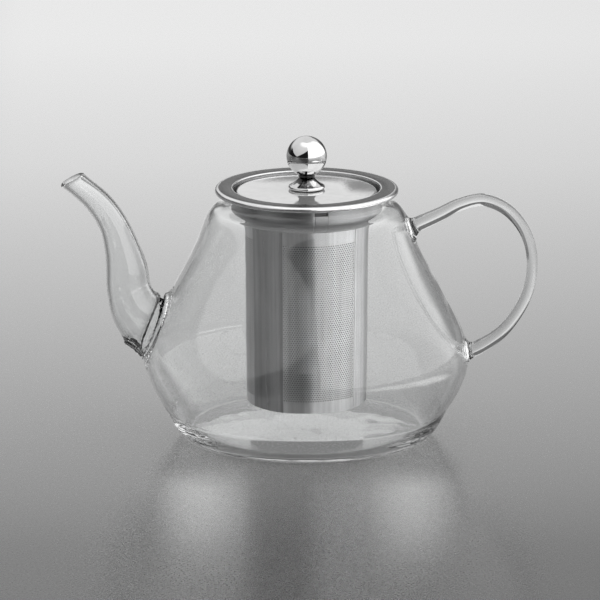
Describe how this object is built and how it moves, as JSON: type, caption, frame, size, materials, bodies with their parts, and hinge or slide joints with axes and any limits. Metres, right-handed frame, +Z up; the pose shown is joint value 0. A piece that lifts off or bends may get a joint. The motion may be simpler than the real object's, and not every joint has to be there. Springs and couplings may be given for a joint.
{
  "type": "glass teapot",
  "caption": "Clear glass teapot with a long bent spout, a loop handle, a steel infuser basket hung in the neck and a drop-in lid with a ball knob",
  "frame": {"origin": "centre of the flat underside of the glass body, on the vessel's axis", "axes": "+Z up along the vessel's axis, +X towards the handle, -X towards the spout"},
  "size_m": [0.2068, 0.1428, 0.135],
  "materials": {
    "clear_glass": "clear, fire-polished borosilicate glass",
    "satin_steel": "satin stainless steel with fine turning marks",
    "polished_steel": "mirror-polished stainless steel"
  },
  "bodies": {
    "vessel": {"glass_body": "clear_glass", "glass_spout": "clear_glass", "glass_handle": "clear_glass"},
    "infuser": {"infuser_flange": "satin_steel", "infuser_collar": "satin_steel", "infuser_tube": "satin_steel", "infuser_floor": "satin_steel"},
    "lid": {"lid_cover": "polished_steel", "knob_foot": "polished_steel", "knob_ball": "polished_steel", "knob_washer": "satin_steel", "knob_screw": "satin_steel"}
  },
  "joints": [
    {"name": "infuser_lift", "type": "slide", "parent": "vessel", "child": "infuser", "axis": [0, 0, 1], "range_m": [0, 0.105]},
    {"name": "lid_lift", "type": "slide", "parent": "infuser", "child": "lid", "axis": [0, 0, 1], "range_m": [0, 0.035]}
  ]
}
